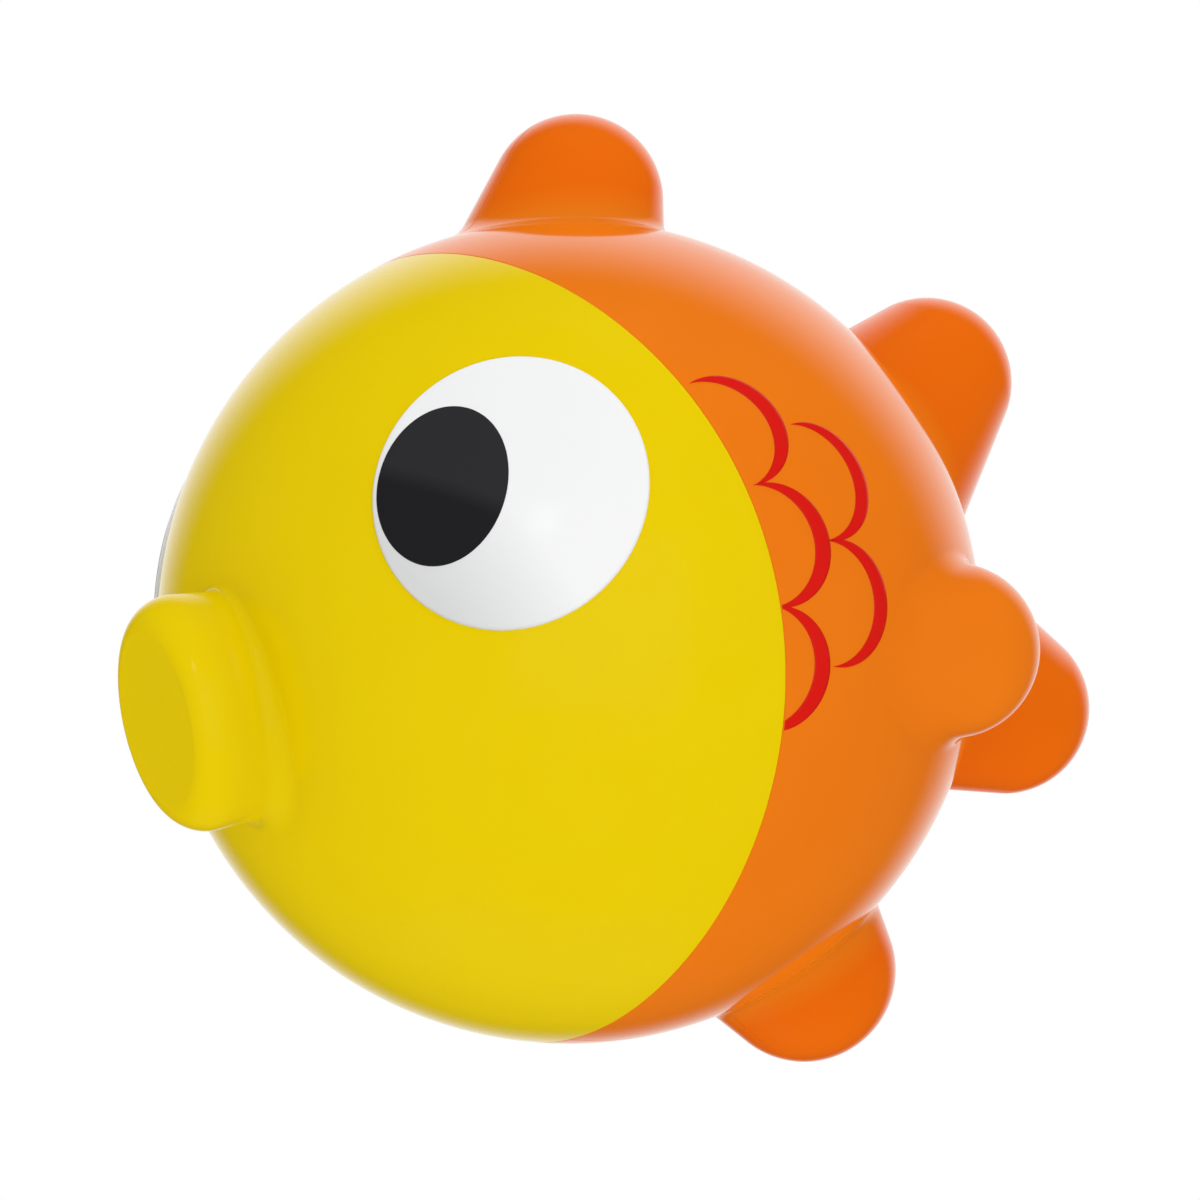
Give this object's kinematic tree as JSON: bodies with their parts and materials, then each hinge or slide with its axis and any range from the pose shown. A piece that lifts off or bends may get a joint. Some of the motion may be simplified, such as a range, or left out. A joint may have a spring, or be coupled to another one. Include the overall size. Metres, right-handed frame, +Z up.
{
  "type": "fish bath toy",
  "caption": "Ball-shaped fish bath toy with a yellow face and flat oval snout, an orange body with stubby rounded fins and a forked tail, and large white eyes.",
  "frame": {"origin": "point of the round belly that touches the table", "axes": "+Z up as the toy sits on its belly and bottom fin, the fish looks along -Y with its nose a little down, +X is the fish's left side"},
  "size_m": [0.09, 0.1216, 0.1028],
  "materials": {
    "yellow_shell": "gloss",
    "orange_shell": "gloss",
    "eye_white": "gloss",
    "pupil_black": "gloss",
    "scale_ink": "gloss",
    "weight_steel": "plain",
    "cap_grey": "matte"
  },
  "bodies": {
    "root": {"face_shell": "yellow_shell", "body_left": "orange_shell", "body_right": "orange_shell", "eye_left": "eye_white", "eye_right": "eye_white", "pupil_left": "pupil_black", "pupil_right": "pupil_black", "ballast_weight": "weight_steel", "ballast_cap": "cap_grey"}
  },
  "joints": []
}
